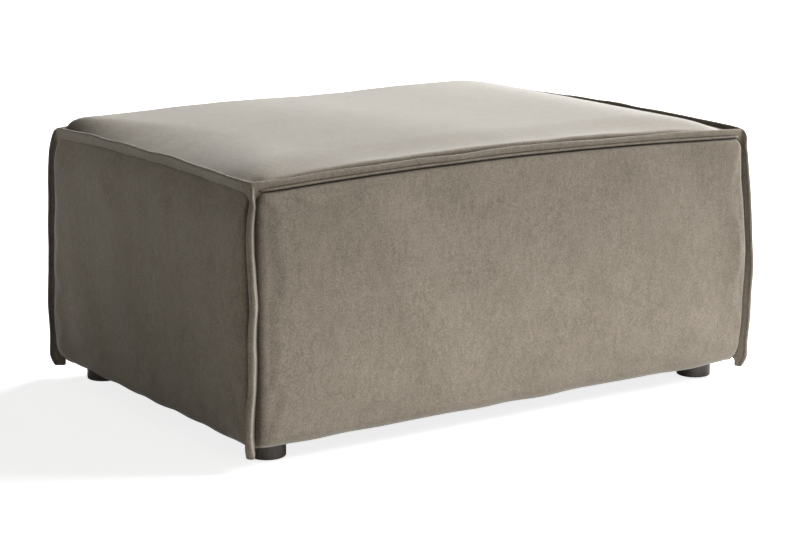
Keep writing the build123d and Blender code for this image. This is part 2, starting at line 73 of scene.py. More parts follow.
# The seat cover: one piece of velvet pulled over fibre and foam. It is sewn to the side panels
# along a bowed seam behind the standing flanges, and rises from there to a shallow crown,
# steeply at the back and with long slack slopes at the front and the ends.
half_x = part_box("right_top_flange")[1].x
half_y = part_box("back_top_flange")[1].y
flange_height = 0.0165
seam_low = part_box("front_top_flange")[0].z
long_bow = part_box("front_top_flange")[1].z - seam_low - flange_height
short_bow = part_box("left_top_flange")[1].z - seam_low - flange_height
seat_tuck = 0.0070
seat_shoulder = 0.034
seat_front_shoulder = 0.120
seat_right_shoulder = 0.175
seat_left_trim = 0.004
seat_left_spread = 0.12
seat_left_front_spread = 0.04
seat_back_left_trim = 0.008
seat_power = 2.1
seat_left_power = 1.95
seat_rim_drop = 0.0035
seat_left_drop = 0.0175
seat_right_drop = 0.0050
left_lift = 0.0038
left_lift_skew = 0.3
bead_height = 0.0068
bead_width = 0.0022
bead_fade = 0.05
seat_walls = np.array([0.0, 0.5])
seat_wall_drop = 0.002
seat_middle_level = 0.4512
seat_crown = 0.0042
seat_right_tilt = 0.0028
seat_back_tilt = 0.0042
seat_left_slack = 0.0016
gather_height = 0.0005
gather_reach = 0.03
gather_start = 0.006
seam_wavelengths = (0.09, 0.2)
fibre_wave = 0.0010
fibre_wavelengths = (0.33, 0.5)
fibre_skew = 0.3
pinch_depth = 0.0045
pinch_size = 0.012
back_left_fill = 0.0065
seat_step = 0.0085
rim_lines = 9
seat_swell = 0.004
cloth_frames = 20
cloth_pressure = 2.0
cloth_slack = 0.003
cloth_thickness = 0.0016
velvet_dark = (0.148, 0.122, 0.092)
velvet_light = (0.322, 0.279, 0.221)
velvet_tips = (0.62, 0.61, 0.585, 1)
tip_share = 0.75
# Painted shade in the velvet's seams and creases: the rays it is looked up with, and how far it
# reaches, further on the flanges
crease_shade_rays = 6
crease_shade_reach = 0.013
flange_crease_shade_reach = 0.030


class Socket:
    """One shader value, so that maths on it can be written as Python expressions."""

    def __init__(self, tree, link):
        self.tree = tree
        self.link = link

    def node(self, kind, settings=None, sockets=None, out=0):
        made = self.tree.nodes.new(kind)
        for name, value in (settings or {}).items():
            if name == "ramp":
                elements = made.color_ramp.elements
                while len(elements) < len(value):
                    elements.new(0.5)
                for element, (place, colour) in zip(elements, value):
                    element.position = place
                    element.color = (*colour, 1)
            else:
                setattr(made, name, value)
        for name, value in (sockets or {}).items():
            if isinstance(value, Socket):
                self.tree.links.new(value.link, made.inputs[name])
            else:
                made.inputs[name].default_value = value
        return Socket(self.tree, made.outputs[out])

    def into(self, shader, socket):
        self.tree.links.new(self.link, shader.inputs[socket])

    def maths(self, operation, other, swap=False):
        pair = (other, self) if swap else (self, other)
        return self.node("ShaderNodeMath", {"operation": operation}, {0: pair[0], 1: pair[1]})

    def __add__(self, other):
        return self.maths("ADD", other)

    def __radd__(self, other):
        return self.maths("ADD", other, swap=True)

    def __sub__(self, other):
        return self.maths("SUBTRACT", other)

    def __rsub__(self, other):
        return self.maths("SUBTRACT", other, swap=True)

    def __mul__(self, other):
        return self.maths("MULTIPLY", other)

    def __rmul__(self, other):
        return self.maths("MULTIPLY", other, swap=True)


def new_material(name, constants):
    """A material, its shader and a first socket, the object's own coordinates in metres."""
    material = bpy.data.materials.new(name)
    material.use_nodes = True
    tree = material.node_tree
    shader = tree.nodes["Principled BSDF"]
    for socket, value in constants.items():
        shader.inputs[socket].default_value = value
    place = Socket(tree, tree.nodes.new("ShaderNodeTexCoord").outputs["Object"])
    return material, shader, place


def noise(place, scale, detail, roughness, seed, stretch=(1, 1, 1)):
    """Noise through the piece, scale in features per metre, stretched along the axes."""
    shifted = place.node("ShaderNodeMapping", None, {
        "Vector": place,
        "Scale": stretch,
        "Location": (seed, -seed, seed * 0.7),
    })
    return shifted.node("ShaderNodeTexNoise", None, {
        "Vector": shifted,
        "Scale": scale,
        "Detail": detail,
        "Roughness": roughness,
    })


def tinted(texture, *stops):
    """Colours picked along a ramp by a texture."""
    return texture.node("ShaderNodeValToRGB", {"ramp": stops}, {"Fac": texture})


def bumped(texture, strength, distance):
    """A normal bumped by a texture, by a distance in metres."""
    sockets = {"Height": texture, "Strength": strength, "Distance": distance}
    return texture.node("ShaderNodeBump", None, sockets)


def velvet(name, stretch, reach=crease_shade_reach):
    """Short-pile velvet: brushed streaks along the nap, cloudy patches and a fine pile grain,
    with the paler tips of the pile showing where it is seen from the side, and painted shade
    darkening it deep in its seams and creases."""
    material, shader, place = new_material(name, {
        "Roughness": 0.85,
        "Specular IOR Level": 0.15,
        "Sheen Weight": 0.12,
        "Sheen Roughness": 0.5,
    })
    grain = noise(place, scale=900, detail=1.5, roughness=0.6, seed=3.1)
    specks = noise(place, scale=360, detail=2.0, roughness=0.55, seed=7.7)
    streaks = noise(place, scale=110, detail=2.5, roughness=0.55, seed=1.9, stretch=stretch)
    clouds = noise(place, scale=13, detail=2.0, roughness=0.5, seed=5.3)
    tone = grain * 0.24 + specks * 0.46 + streaks * 0.20 + clouds * 0.12 - 0.01
    middle = tuple((dark + light) / 2 for dark, light in zip(velvet_dark, velvet_light))
    colour = tinted(tone, (0.32, velvet_dark), (0.50, middle), (0.68, velvet_light))
    # Painted shade: the colour darkens deep in the seams and creases, where little light gets in
    rays = {"samples": crease_shade_rays}
    crease = place.node("ShaderNodeAmbientOcclusion", rays, {"Distance": reach}, out=1)
    painted_openness = crease.maths("POWER", 2.0)
    shaded = colour.node("ShaderNodeVectorMath", {"operation": "SCALE"}, {
        0: colour,
        "Scale": painted_openness * 0.6 + 0.4,
    })
    shaded.into(shader, "Base Color")
    bump = bumped(grain * 0.6 + specks * 0.8, strength=0.35, distance=0.0009)
    bump.into(shader, "Normal")
    tips = place.node("ShaderNodeBsdfDiffuse", None, {"Color": velvet_tips, "Normal": bump})
    slant = place.node("ShaderNodeLayerWeight", None, {"Blend": 0.5, "Normal": bump}, out=1)
    # The same painted shade holds back the pale pile tips in the seams and creases
    sheen = slant.maths("POWER", 4.0) * painted_openness * tip_share
    pile = Socket(place.tree, shader.outputs[0])
    mixed = sheen.node("ShaderNodeMixShader", None, {0: sheen, 1: pile, 2: tips})
    mixed.into(place.tree.nodes["Material Output"], "Surface")
    return material


side_velvet = velvet("velvet_sides", (1, 1, 0.5))
seat_velvet = velvet("velvet_seat", (1, 0.5, 1))
# The flanges get painted shade from further away, so the fins' inner faces and the grooves beside
# them come out dark
flange_velvet = velvet("velvet_flanges", (1, 1, 0.5), flange_crease_shade_reach)


def waves(places, wavelengths, seed, phases=3):
    """Smooth uneven waves of about unit height, the same on each run."""
    generator = np.random.default_rng(seed)
    total = np.zeros_like(places)
    for wavelength in wavelengths:
        for _ in range(phases):
            length = wavelength * generator.uniform(0.75, 1.3)
            total = total + np.sin(2 * pi * (places / length + generator.uniform(0, 1)))
    return total / sqrt(len(wavelengths) * phases / 2)


def mesh_object(name, points, faces, material, smooth=True):
    """An object made of points and faces, linked to the scene."""
    mesh = bpy.data.meshes.new(name)
    mesh.from_pydata([tuple(point) for point in points], [], [tuple(face) for face in faces])
    mesh.materials.append(material)
    mesh.polygons.foreach_set("use_smooth", [smooth] * len(mesh.polygons))
    mesh.update()
    made = bpy.data.objects.new(name, mesh)
    bpy.context.scene.collection.objects.link(made)
    return made


def grid_faces(rows, columns):
    """Quads of a grid of points held row by row."""
    first = (np.arange(rows - 1)[:, None] * columns + np.arange(columns - 1)[None, :]).ravel()
    return np.stack([first, first + columns, first + columns + 1, first + 1], 1)


def mesh_points(mesh):
    """The vertices of a mesh as an array."""
    flat = np.empty(len(mesh.vertices) * 3)
    mesh.vertices.foreach_get("co", flat)
    return flat.reshape(-1, 3)


def inflate(cloth_object, held, cap):
    """Swell a stitched panel as cloth over its padding, outwards only and by no more than a cap,
    with its sewn edges held."""
    start = mesh_points(cloth_object.data)
    outward = np.array([vertex.normal for vertex in cloth_object.data.vertices])
    group = cloth_object.vertex_groups.new(name="sewn_edge")
    group.add([int(index) for index in np.flatnonzero(held)], 1.0, "REPLACE")
    modifier = cloth_object.modifiers.new("cloth", "CLOTH")
    settings = modifier.settings
    settings.quality = 6
    settings.mass = 0.35
    settings.tension_stiffness = 30
    settings.compression_stiffness = 30
    settings.shear_stiffness = 12
    settings.bending_stiffness = 1.2
    settings.vertex_group_mass = group.name
    settings.use_pressure = True
    settings.uniform_pressure_force = cloth_pressure
    settings.shrink_min = -cloth_slack
    settings.effector_weights.gravity = 0
    modifier.collision_settings.use_collision = False
    modifier.point_cache.frame_start = 1
    modifier.point_cache.frame_end = cloth_frames
    for step in range(1, cloth_frames + 1):
        bpy.context.scene.frame_set(step)
    result = cloth_object.evaluated_get(bpy.context.evaluated_depsgraph_get())
    swollen = mesh_points(result.to_mesh())
    result.to_mesh_clear()
    cloth_object.modifiers.remove(modifier)
    cloth_object.vertex_groups.remove(group)
    swell = np.clip(np.sum((swollen - start) * outward, axis=1, keepdims=True), 0, cap)
    cloth_object.data.vertices.foreach_set("co", (start + swell * outward).ravel())
    cloth_object.data.update()
    bpy.context.scene.frame_set(1)


def thicken(cloth_object, thickness, offset=-1.0):
    """Give a cloth surface its thickness: on its padding side, or at offset 0 on both."""
    solid = cloth_object.modifiers.new("thickness", "SOLIDIFY")
    solid.thickness = thickness
    solid.offset = offset
    solid.use_even_offset = False


def lines_across(half, radius, step, walls):
    """Grid lines across a panel: place, distance in from its edge, and how far up its hidden
    wall. The lines are close together round the edge and even between."""
    near = radius * (1 - np.cos(np.linspace(0, pi / 2, rim_lines)[:-1]))
    middle = np.linspace(-half + radius, half - radius, int(2 * (half - radius) / step) + 2)
    places = np.concatenate([-half + near, middle, (half - near)[::-1]])
    hidden = np.full(len(walls), half)
    places = np.concatenate([-hidden, places, hidden])
    wall = np.concatenate([walls, np.ones(len(places) - 2 * len(walls)), walls[::-1]])
    return places, half - np.abs(places), wall


seat_xs, seat_dx, seat_wx = lines_across(half_x - seat_tuck, seat_shoulder, seat_step, seat_walls)
seat_ys, seat_dy, seat_wy = lines_across(half_y - seat_tuck, seat_shoulder, seat_step, seat_walls)
seat_x, seat_y = np.meshgrid(seat_xs, seat_ys, indexing="ij")
edge_x, edge_y = np.meshgrid(seat_dx, seat_dy, indexing="ij")
seat_wall = np.minimum(*np.meshgrid(seat_wx, seat_wy, indexing="ij"))
seat_tx = seat_x / (half_x - seat_tuck)
seat_ty = seat_y / (half_y - seat_tuck)
seam_level = (
    seam_low
    + long_bow * (1 - seat_tx ** 2) * np.abs(seat_ty) ** 3
    + short_bow * (1 - seat_ty ** 2) * np.abs(seat_tx) ** 3
    + left_lift * (1 + left_lift_skew * seat_ty) * (1 - seat_ty ** 8) * np.clip(-seat_tx, 0, 1) ** 3
)
# Its rim lies lower along the left end and at the right front corner, where the flanges stand
# clear of it
to_front = (1 - np.clip(seat_ty, -1, 1)) / 2
mid_side = np.clip(1 - seat_ty ** 2, 0, 1)
rim_level = (
    seam_level
    + flange_height
    - seat_rim_drop
    - seat_right_drop * np.clip(seat_tx, 0, 1) ** 3 * to_front
    - seat_left_drop * np.clip(-seat_tx, 0, 1) ** 3 * mid_side
)
seat_level = (
    seat_middle_level
    + seat_crown * (1 - seat_ty ** 2) * (1 - seat_tx ** 2)
    + seat_right_tilt * seat_tx
    - seat_left_slack * np.clip(-seat_tx, 0, 1) ** 2 * (1 - seat_ty ** 2)
    + seat_back_tilt * seat_ty
)
# Its shoulder is steep behind, softer at the left and long and slack at the front and right
left_shoulder = seat_shoulder - seat_left_trim + seat_left_spread * mid_side ** 1.5
left_shoulder = left_shoulder + seat_left_front_spread * to_front ** 2
left_shoulder = left_shoulder - seat_back_left_trim * np.clip(seat_ty, 0, 1) ** 8
shoulder_x = np.where(seat_tx > 0, seat_right_shoulder, left_shoulder)
shoulder_y = np.where(seat_ty > 0, seat_shoulder, seat_front_shoulder)
power_x = np.where(seat_tx > 0, seat_power, seat_left_power)
rise_x = 1 - np.clip(1 - edge_x / shoulder_x, 0, 1) ** power_x
rise_y = 1 - np.clip(1 - edge_y / shoulder_y, 0, 1) ** seat_power
rise = 1 - np.clip(np.hypot(1 - rise_x, 1 - rise_y), 0, 1)
# At the front the cover stands up steeply from its seam before it slopes away
bead = bead_height * (1 - np.exp(-edge_y / bead_width)) * np.clip(-seat_ty, 0, 1) ** 2
bead = bead * np.clip(edge_x / bead_fade, 0, 1) * (1 - np.clip(np.abs(seat_tx), 0, 1) ** 4)
seat_z = rim_level + bead + (seat_level - rim_level - bead) * rise
# Small gathers run in from the seams and die out over the shoulder
fade_x = np.exp(-edge_x / gather_reach) * np.clip(edge_x / gather_start, 0, 1)
fade_y = np.exp(-edge_y / gather_reach) * np.clip(edge_y / gather_start, 0, 1)
seat_z = seat_z + gather_height * fade_y * waves(seat_x, seam_wavelengths, seed=11)
seat_z = seat_z + gather_height * fade_x * waves(seat_y, seam_wavelengths, seed=12)
# Slow unevenness of the fibre underneath, and the pinch where the covers meet at a corner,
# which the fuller back left corner doesn't have
uneven = waves(seat_x + fibre_skew * seat_y, fibre_wavelengths, seed=13, phases=2)
seat_z = seat_z - fibre_wave * rise * uneven
pinch = np.exp(-((edge_x - pinch_size) ** 2 + (edge_y - pinch_size) ** 2) / pinch_size ** 2)
fill = back_left_fill * np.clip(-seat_tx, 0, 1) * np.clip(seat_ty, 0, 1)
seat_z = seat_z - (pinch_depth - fill) * pinch
wall_z = seam_level - seat_wall_drop + (rim_level - seam_level) * seat_wall
seat_z = np.where(seat_wall < 1, wall_z, seat_z)
seat_points = np.stack([seat_x, seat_y, seat_z], -1).reshape(-1, 3)
seat_faces = grid_faces(len(seat_xs), len(seat_ys))
seat_cover = mesh_object("seat_cover", seat_points, seat_faces, seat_velvet)
inflate(seat_cover, (seat_wall < 1).ravel(), cap=seat_swell)
thicken(seat_cover, cloth_thickness)
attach(seat_cover, "root")
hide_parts("top_panel")

# The fibre wadding: a quilt of white polyester that lies under the cover and fills it out to
# the seams. It is only laid on the foam, so it takes the cover's own shape.
wadding_gap = 0.0022
wadding_pull = 0.0035
wadding_depth = 0.0085
wadding_least = 0.0006
foam_gap = 0.0005
walls = len(seat_walls)
quilt_top = mesh_points(seat_cover.data).reshape(len(seat_xs), len(seat_ys), 3)
quilt_top = quilt_top[walls:-walls, walls:-walls]
quilt_top = quilt_top * np.array((1 - wadding_pull / half_x, 1 - wadding_pull / half_y, 1))
quilt_top[..., 2] -= wadding_gap
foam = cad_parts["soft_foam_layer"].data
foam_tree = BVHTree.FromPolygons(
    [corner.co for corner in foam.vertices],
    [face.vertices for face in foam.polygons],
)
quilt_bottom = quilt_top.copy()
for point in quilt_bottom.reshape(-1, 3):
    hit = foam_tree.ray_cast(Vector((point[0], point[1], 1.0)), Vector((0, 0, -1)))[0]
    lowest = point[2] - wadding_depth
    if hit is not None:
        lowest = max(lowest, hit.z + foam_gap)
    point[2] = min(lowest, point[2] - wadding_least)
fibre, fibre_shader, fibre_place = new_material("polyester_fibre", {"Roughness": 0.95})
fluff = noise(fibre_place, scale=160, detail=4.0, roughness=0.7, seed=9.3)
white = tinted(fluff, (0.35, (0.70, 0.70, 0.68)), (0.65, (0.86, 0.86, 0.84)))
white.into(fibre_shader, "Base Color")
bumped(fluff, strength=0.5, distance=0.001).into(fibre_shader, "Normal")
rows, columns = quilt_top.shape[:2]
indices = np.arange(rows * columns).reshape(rows, columns)
border = np.concatenate([indices[:-1, 0], indices[-1, :-1], indices[:0:-1, -1], indices[0, :0:-1]])
quilt_faces = [tuple(face) for face in grid_faces(rows, columns)]
quilt_faces += [tuple(rows * columns + index for index in reversed(face)) for face in quilt_faces]
for here, after in zip(border, np.roll(border, -1)):
    quilt_faces.append((here, rows * columns + here, rows * columns + after, after))
quilt_points = np.concatenate([quilt_top, quilt_bottom]).reshape(-1, 3)
wadding = mesh_object("wadding_quilt", quilt_points, quilt_faces, fibre)
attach(wadding, "root")
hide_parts("fibre_wadding")

# The side panels: one piece of velvet each, swelling past its seams over thin foam, drawn in at
# the four edges, rolled round the bottom of the frame and stapled there with a raw hem.
panel_crown = 0.0141
panel_sink = 0.0014
panel_end = 0.0068
panel_top_gap = 0.0004
panel_hollow = 0.0080
hollow_reach = 0.024
panel_draw = 0.0165
panel_power = 2.7
panel_end_power = 2.1
panel_corner = 0.017
panel_roll = 0.014
panel_step = 0.008
panel_swell = 0.003
panel_walls = np.array([0.0])
panel_wall_drop = 0.003
panel_wall_end = 0.004
panel_gather = 0.0006
upright_wavelengths = (0.08, 0.16)
hem_wavelengths = (0.12, 0.3)
pad_wave = 0.0009
pad_wavelengths = (0.21, 0.4)
pad_skew = 0.4
edge_fullness = 0.74
panel_sag = 0.0012
sag_wave = 0.5
sag_mean = 0.4
sag_reach = 0.05
corner_lift = 0.012
corner_lift_reach = 0.03
hem_lift_share = 0.35
hem_depth = 0.034
hem_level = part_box("front_panel")[0].z
hem_places = (0, 0.35, 0.7)
roll_lines = 7
roll_swell = 0.75
roll_power = 1.3
swell_climb = 5
upright_climb = 3
top_lines = 11
held_lines = 4
stitch_width = 0.0005
push_reach = 0.06
# How far the padding pushes each corner seam out along its diagonal, by height, in millimetres
seam_push = {
    "front_left": [(20, 0), (420, 0)],
    "front_right": [
        (20, -2), (34, 0), (60, 5), (95, 7), (138, 7.2), (182, 8.4), (225, 8.4), (269, 6),
        (312, 3.6), (347, 0), (364, -1), (382, -2.5), (420, -4),
    ],
    "back_right": [(20, 0), (60, 5), (180, 7), (300, 3), (420, -2)],
    "back_left": [
        (20, 0), (34, 4), (60, 8), (95, 9), (138, 8.4), (182, 7), (225, 6), (269, 3.5),
        (312, 1), (420, 0),
    ],
}
# Each side's corners, its directions along and out, half length, distance from the middle, and
# the bow and lift of its seam line
Side = namedtuple("Side", "ends run outward half across bow lift")
sides = {
    "front": Side(("front_left", "front_right"), (1, 0, 0), (0, -1, 0), half_x, half_y, long_bow, 0),
    "right": Side(("front_right", "back_right"), (0, 1, 0), (1, 0, 0), half_y, half_x, short_bow, 0),
    "back": Side(("back_right", "back_left"), (-1, 0, 0), (0, 1, 0), half_x, half_y, long_bow, 0),
    "left": Side(("back_left", "front_left"), (0, -1, 0), (-1, 0, 0), half_y, half_x, short_bow,
                 left_lift),
}


def read_table(rows, heights):
    """Metres at some heights, from rows of height and value in millimetres, lowest row first."""
    table = np.array(rows) / 1000
    return np.interp(heights, table[:, 0], table[:, 1])


def seam_line(side, along):
    """Height of the seam line along a side. The left one stands a little higher than its
    fellows, most of all at the back."""
    t = along / side.half
    lift = side.lift * (1 - left_lift_skew * t) * (1 - t ** 8)
    return seam_low + side.bow * (1 - t ** 2) + lift


def shoulder_curve(distance, radius, power):
    """From 0 at a seam to 1 one radius away, rising steeply first."""
    t = np.clip(1 - distance / radius, 0, 1)
    return (1 - t ** power) ** (1 / power)


def to_stool(side, along, out, height):
    """Points of the stool from places along a side, outwards from its seam line, and up."""
    flat = np.stack([along, out, height], -1).reshape(-1, 3)
    return (
        flat[:, :1] * np.array(side.run)
        + (side.across + flat[:, 1:2]) * np.array(side.outward)
        + flat[:, 2:] * np.array((0, 0, 1))
    )


# Cross-section of a panel before it swells: out, height above the hem, share of the way up from
# the roll to the seam, and share of the swelling, below 0 above the roll
seam_rise = seam_low - hem_level - panel_roll
upward = np.concatenate([
    np.linspace(0, 1 - panel_corner / seam_rise, int(seam_rise / panel_step)),
    1 - panel_corner / seam_rise * np.cos(np.linspace(0, pi / 2, top_lines))[1:],
])
panel_profile = [(-hem_depth + (hem_depth - panel_roll) * t, 0.0, 0.0, 0.0) for t in hem_places]
for angle in np.linspace(0, pi / 2, roll_lines)[:-1]:
    out = -panel_roll + panel_roll * sin(angle)
    up = panel_roll * (1 - cos(angle))
    panel_profile.append((out, up, 0.0, roll_swell * (angle / (pi / 2)) ** roll_power))
panel_profile += [(0.0, panel_roll, share, -1.0) for share in upward]
panel_profile = np.array(panel_profile)

for number, (name, side) in enumerate(sides.items()):
    alongs, _, end_wall = lines_across(side.half - panel_end, panel_corner, panel_step, panel_walls)
    along, level = np.meshgrid(alongs, np.arange(len(panel_profile)), indexing="ij")
    tucked = np.repeat((end_wall < 1)[:, None], len(panel_profile), axis=1)
    out0, up0, share, crown_share = (panel_profile[level, column] for column in range(4))
    top = seam_line(side, along) - panel_top_gap
    bottom = hem_level + panel_roll
    height = hem_level + up0 + share * (top - bottom)
    edge_end = side.half - panel_end - np.abs(along)
    edge_top = np.maximum(top - height, 0)
    climb = np.clip(share * swell_climb, 0, 1)
    swell = np.where(crown_share < 0, roll_swell + (1 - roll_swell) * climb, crown_share)
    inner_end = np.clip(panel_corner - edge_end, 0, None)
    inner_top = np.clip(panel_corner - edge_top, 0, None)
    inner = np.where(share > 0, np.hypot(inner_end, inner_top), inner_end)
    rounded = shoulder_curve(np.clip(panel_corner - inner, 0, None), panel_draw, panel_power)
    end_rise = shoulder_curve(edge_end, panel_draw, panel_end_power)
    in_middle = (1 - edge_fullness) * (1 - (along / side.half) ** 4) * (1 - (2 * share - 1) ** 4)
    fullness = edge_fullness + in_middle
    upright = np.clip(swell * upright_climb, 0, 1)
    out = out0 - panel_sink * upright + (panel_crown * fullness + panel_sink) * rounded * swell
    if side.across == half_x:
        # The short sides hang slack under their flange
        out = out - panel_hollow * np.exp(-(edge_top / hollow_reach) ** 2) * rounded * upright
    near_top = np.exp(-edge_top / gather_reach) * rounded
    near_end = np.exp(-edge_end / gather_reach) * rounded
    top_gathers = waves(along, seam_wavelengths, seed=21 + number)
    end_gathers = waves(height, upright_wavelengths, seed=31 + number)
    out = out + panel_gather * near_top * top_gathers
    out = out + panel_gather * near_end * end_gathers * upright
    uneven = waves(along + pad_skew * height, pad_wavelengths, seed=41 + number, phases=2)
    out = out + pad_wave * rounded * upright * uneven
    sag = np.where(crown_share < 0, np.exp(-(height - bottom) / sag_reach), 1.0)
    hanging = waves(along, hem_wavelengths, seed=51 + number) * sag_wave + sag_mean
    height = height + panel_sag * sag * hanging * end_rise
    # Towards a corner the turned-under edge lifts, so the panel's lower corners are round
    lift = np.clip(1 - edge_end / corner_lift_reach, 0, 1) ** 2 * corner_lift
    height = height + lift * sag * np.where(out0 < 0, hem_lift_share, 1.0)
    out = np.where(tucked, np.minimum(out, -panel_wall_drop), out)
    first_push, last_push = (read_table(seam_push[corner], height) for corner in side.ends)
    push = np.where(along < 0, first_push, last_push)
    along = np.where(tucked, np.sign(along) * (side.half - panel_wall_end), along)
    near = np.clip(1 - edge_end / push_reach, 0, 1) ** 2
    along = along + np.sign(along) * push * near
    pushed_share = np.where(out0 < 0, np.clip(up0 / panel_roll, 0, 1), 1.0)
    out = out + np.clip(push, 0, None) * near * pushed_share
    panel = mesh_object(
        f"{name}_side_cover",
        to_stool(side, along, out, height),
        grid_faces(len(alongs), len(panel_profile)),
        side_velvet,
    )
    at_seam = level == len(panel_profile) - 1
    held = tucked | (edge_end < stitch_width) | (level < held_lines) | at_seam
    inflate(panel, held.ravel(), cap=panel_swell)
    thicken(panel, cloth_thickness)
    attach(panel, "root")
    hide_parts(f"{name}_panel")

# The flanges: the doubled seam allowances of the cover, folded and stitched flat so that they
# stand up round the seat and out at the corners, like a soft picture frame round each panel.
# They are one sewn web, with small gores in the inner corners of the frame.
flange_half = 0.0030
flange_root = 0.006
flange_end = 0.0005
flange_step = 0.008
flange_power = 2.6
flange_lean = 0.0065
lean_wave = 0.0007
lean_wavelengths = (0.17, 0.35)
tongue_lines = 13
tip_wave = 0.0005
gore_rise = 0.002
gore_inset = (0.0075, 0.003)
gore_tuck = 0.002
gore_lines = 7
gore_faces = (-0.007, -0.0005)
frame_fillet = 0.017
ridge_size = 0.0021
ridge_points = 8
ridge_rise = 0.0026
ridge_out = 0.0014
ridge_end = 0.014
ridge_sink = 0.0025
ridge_fade = 0.03
corner_half = 0.0058
corner_power = 2.3
corner_inner = 0.008
corner_root_share = 0.55
corner_blunt_share = 0.6
corner_lines = (17, 48, 8)
corner_smoothing = 5
corner_wave = 0.0004
corner_sway = 0.0014
sway_wavelengths = (0.17, 0.4)
close_top = 0.04
close_bottom = 0.02
top_thinning = 0.0030
top_thin_start = 0.026
top_thin_length = 0.016
low_thickening = 0.0020
low_thick_start = 0.03
low_thick_length = 0.035
tail_depth = 0.0075
tail_start = 0.012
tail_length = 0.02
tail_narrowing = 0.009
tail_inner_level = 0.008
tail_inner = 0.003
weld_size = 0.0016
# Height and reach in millimetres down each corner
corners = {
    "front_left": (-1, -1, [
        (421, 0.5), (413, 5), (402, 9.5), (385, 14), (330, 18), (200, 22), (90, 23), (20, 22),
    ]),
    "front_right": (1, -1, [
        (427, 2), (418, 7), (404, 6), (390, 8), (335, 14.5), (253, 20.5), (205, 24), (156, 22.5),
        (100, 22), (58, 18.7), (20, 17.5),
    ]),
    "back_right": (1, 1, [
        (428, 2), (418, 7), (400, 9), (370, 15), (300, 20), (180, 22), (80, 24), (20, 21),
    ]),
    "back_left": (-1, 1, [
        (428, 2.5), (418, 8), (404, 12), (390, 15), (300, 18), (200, 21.8), (100, 24.5), (20, 24),
    ]),
}
# How far the near flange is bent towards the front, in millimetres by height
near_bend = [
    (28, -3.4), (58, -3.4), (95, -1.7), (133, 1.7), (171, 5), (209, 5), (246, 5), (284, 0),
    (322, -1.7), (360, 0), (397, 3.4), (420, 1),
]


def tongue(thickness, length, power):
    """Cross-section with a blunt rounded end: distance from the root, and sideways."""
    angles = np.linspace(-pi / 2, pi / 2, tongue_lines)
    ends = length - thickness * (1 - np.abs(np.cos(angles)) ** (2 / power))
    widths = thickness * np.sign(np.sin(angles)) * np.abs(np.sin(angles)) ** (2 / power)
    return np.concatenate([[(0.0, -thickness)], np.stack([ends, widths], -1), [(0.0, thickness)]])


def lean_at(number, alongs, half):
    """How far out a top flange leans along its side; it stands straight at the corners."""
    t = alongs / half
    wave = lean_wave * (1 - t ** 4) * waves(alongs, lean_wavelengths, seed=61 + number)
    return flange_lean * (1 - np.abs(t) ** 8) + wave


def sweep(rings, points, faces):
    """Add the tube round a row of rings, closed at both ends, to a mesh's points and faces."""
    ring = len(rings[0])
    base = sum(len(block) for block in points)
    last = base + (len(rings) - 1) * ring
    for first in range(base, last, ring):
        for place in range(ring):
            after = (place + 1) % ring
            faces.append((first + place, first + after, first + ring + after, first + ring + place))
    faces.append(tuple(reversed(range(base, base + ring))))
    faces.append(tuple(range(last, last + ring)))
    points.extend(rings)


web_points, web_faces = [], []
seam_points, seam_faces = [], []
for number, side in enumerate(sides.values()):
    half = side.half
    alongs = np.linspace(-half + flange_end, half - flange_end, int(2 * half / flange_step))
    lean = lean_at(number, alongs, half)
    roots = seam_line(side, alongs)
    lengths = flange_height + tip_wave * waves(alongs, hem_wavelengths, seed=71 + number)
    rings = []
    for place, sideways, level, length in zip(alongs, lean, roots, lengths):
        slope = np.array((sideways / length, 1.0))
        slope = slope / np.linalg.norm(slope)
        across_slope = np.array((slope[1], -slope[0]))
        section = tongue(flange_half, length + flange_root, flange_power)
        start = np.array((-flange_half, level - flange_root))
        flat = start + section[:, :1] * slope + section[:, 1:] * across_slope
        rings.append(to_stool(side, np.full(len(flat), place), flat[:, 0], flat[:, 1]))
    sweep(rings, web_points, web_faces)

    # Small gores that round the inner corners of the frame
    level = seam_low + gore_rise
    middle_x = half - gore_inset[0] - frame_fillet
    middle_z = level - gore_inset[1] - frame_fillet
    arc = [(middle_x + frame_fillet * sin(angle), middle_z + frame_fillet * cos(angle))
           for angle in np.linspace(0, pi / 2, gore_lines)]
    corner_x = half - gore_tuck
    outline = np.array([(corner_x, level), (middle_x, level), *arc, (corner_x, middle_z)])
    for end in (-1, 1):
        rings = [to_stool(side, end * outline[:, 0], np.full(len(outline), out), outline[:, 1])
                 for out in gore_faces]
        sweep(rings, web_points, web_faces)

    # The ridge of the turned seam on the long sides, just above the line where the panel meets
    # the flange; it sinks away towards the corners
    if side.across == half_x:
        continue
    alongs = np.linspace(-half + ridge_end, half - ridge_end, int(2 * half / flange_step))
    levels = seam_line(side, alongs) + ridge_rise
    outs = (ridge_rise + flange_root) / flange_height * lean_at(number, alongs, half) + ridge_out
    sunk = np.clip(1 - (half - ridge_end - np.abs(alongs)) / ridge_fade, 0, 1) ** 2
    outs = outs - ridge_sink * sunk
    angles = np.linspace(0, 2 * pi, ridge_points, endpoint=False)
    ring_outs = ridge_size * np.cos(angles)
    ring_heights = ridge_size * np.sin(angles)
    rings = [to_stool(side, np.full(ridge_points, place), out + ring_outs, height + ring_heights)
             for place, height, out in zip(alongs, levels, outs)]
    sweep(rings, seam_points, seam_faces)

